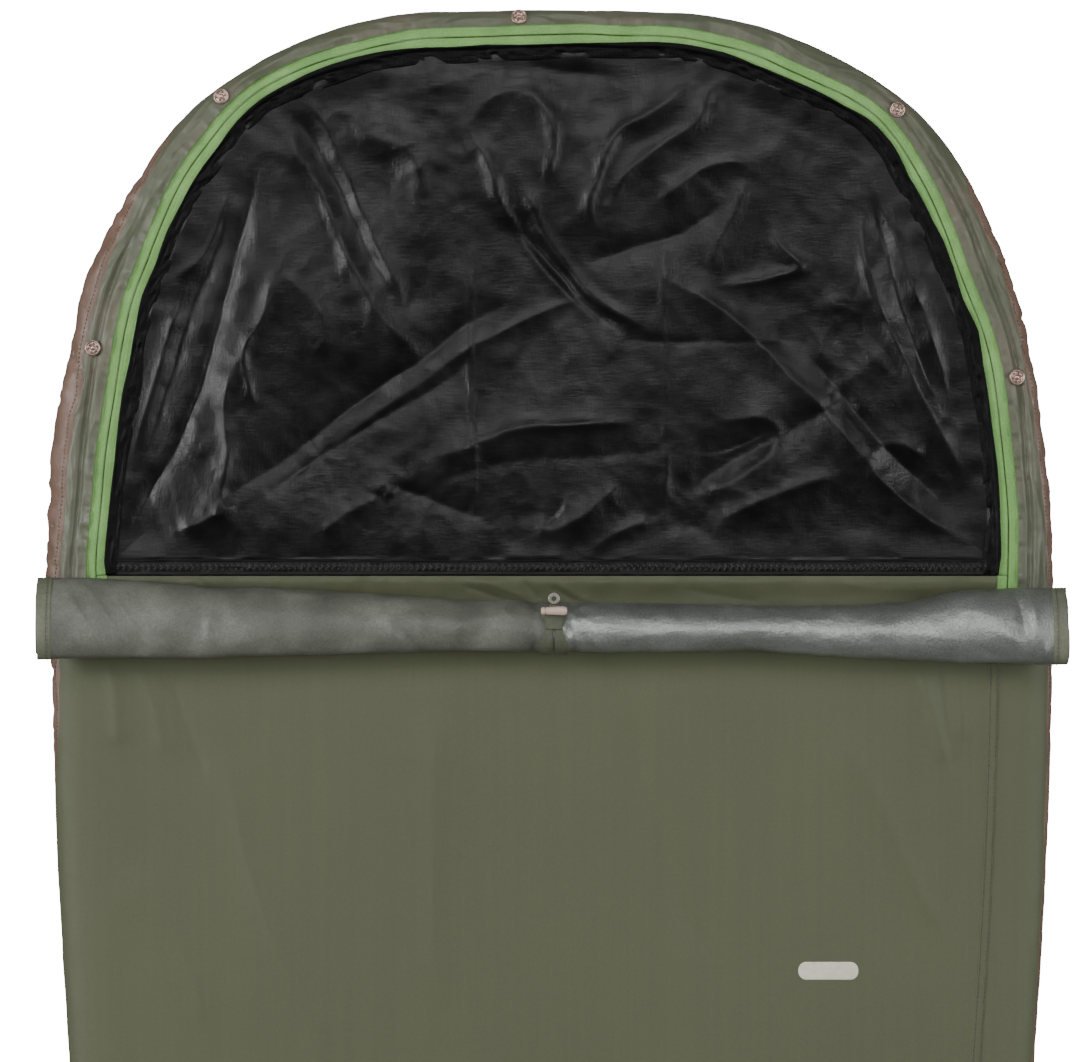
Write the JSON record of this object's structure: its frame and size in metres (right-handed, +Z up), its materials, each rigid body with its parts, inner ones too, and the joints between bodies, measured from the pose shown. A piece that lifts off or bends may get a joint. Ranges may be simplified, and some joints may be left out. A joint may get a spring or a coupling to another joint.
{
  "type": "bivy sack",
  "caption": "Flat single-person bivy sack: tub floor, olive top, arched zip with a net door, rolled storm flap held by a toggle tie, press studs round the hood.",
  "frame": {"origin": "middle of the plan outline, on the ground under the floor", "axes": "+Z up, +Y towards the head end, +X to the right seen from above with the head at the top"},
  "size_m": [0.906, 2.2997, 0.0976],
  "materials": {
    "floor_fabric": "matte coated nylon, reddish brown",
    "shell_fabric": "matte olive laminate with soft creases",
    "coated_fabric": "silvery olive coated inner face, semi-gloss",
    "facing": "olive edge facing",
    "seam_tape": "translucent grey seam tape",
    "zip_tape": "green woven tape",
    "zip_coil": "green nylon coil",
    "net": "fine black net with a soft sheen",
    "net_binding": "black puckered binding",
    "stud_metal": "antique rose press stud",
    "eye_metal": "light metal",
    "toggle_plastic": "pinkish beige",
    "slider_metal": "olive painted",
    "webbing": "olive webbing",
    "reflective": "light beige printed patch"
  },
  "bodies": {
    "bag": {"floor_panel": "floor_fabric", "floor_turn_up": "floor_fabric", "top_panel": "shell_fabric", "side_gusset_right": "shell_fabric", "gusset_seam": "shell_fabric", "hood_rim": "shell_fabric", "perimeter_seam_tape": "seam_tape", "reflective_patch": "reflective", "rim_press_studs": "stud_metal", "stud_backing_rings": "stud_metal", "zip_tape_outer": "zip_tape", "zip_coil_outer": "zip_coil", "zip_tails": "zip_tape", "zip_end_stops": "zip_coil", "tie_anchor": "webbing"},
    "net_door": {"net_panel": "net", "net_arch_binding": "net_binding", "net_hem_binding": "net_binding", "zip_tape_inner": "zip_tape", "zip_coil_inner": "zip_coil"},
    "storm_flap": {"flap_roll": "coated_fabric", "flap_facing_left": "facing", "flap_facing_right": "facing", "flap_press_sockets": "stud_metal"},
    "tie": {"tie_strap": "webbing", "tie_eye": "eye_metal"},
    "toggle": {"tie_toggle": "toggle_plastic"},
    "slider_right": {"zip_slider_right": "slider_metal"},
    "slider_left": {"zip_slider_left": "slider_metal"},
    "pull_right": {"zip_pull_right": "slider_metal"},
    "pull_left": {"zip_pull_left": "slider_metal"}
  },
  "joints": [
    {"name": "net_door_fold", "type": "hinge", "parent": "bag", "child": "net_door", "pos_m": [0, 0.65, 0.037], "axis": [1, 0, 0], "range_deg": [0, 90]},
    {"name": "flap_unroll", "type": "slide", "parent": "bag", "child": "storm_flap", "axis": [0, -1, 0], "range_m": [-0.24, 0]},
    {"name": "tie_release", "type": "hinge", "parent": "bag", "child": "tie", "pos_m": [0.0015, 0.58664, 0.04591], "axis": [-1, 0, 0], "range_deg": [-80, 0]},
    {"name": "toggle_turn", "type": "hinge", "parent": "tie", "child": "toggle", "pos_m": [0.0015, 0.6205, 0.093], "axis": [0, 0, 1], "range_deg": [-90, 90]},
    {"name": "slider_right_run", "type": "hinge", "parent": "bag", "child": "slider_right", "pos_m": [-0.3425, 0.672, 0.035], "axis": [0, 0, 1], "range_deg": [0, 28.4]},
    {"name": "slider_left_run", "type": "hinge", "parent": "bag", "child": "slider_left", "pos_m": [0.3425, 0.672, 0.035], "axis": [0, 0, -1], "range_deg": [0, 28.4]},
    {"name": "pull_right_lift", "type": "hinge", "parent": "slider_right", "child": "pull_right", "pos_m": [0.39916, 0.61303, 0.03785], "axis": [-0.9968, 0.0802, 0], "range_deg": [0, 15]},
    {"name": "pull_left_lift", "type": "hinge", "parent": "slider_left", "child": "pull_left", "pos_m": [-0.39916, 0.61303, 0.03785], "axis": [-0.9968, -0.0802, 0], "range_deg": [0, 15]}
  ]
}
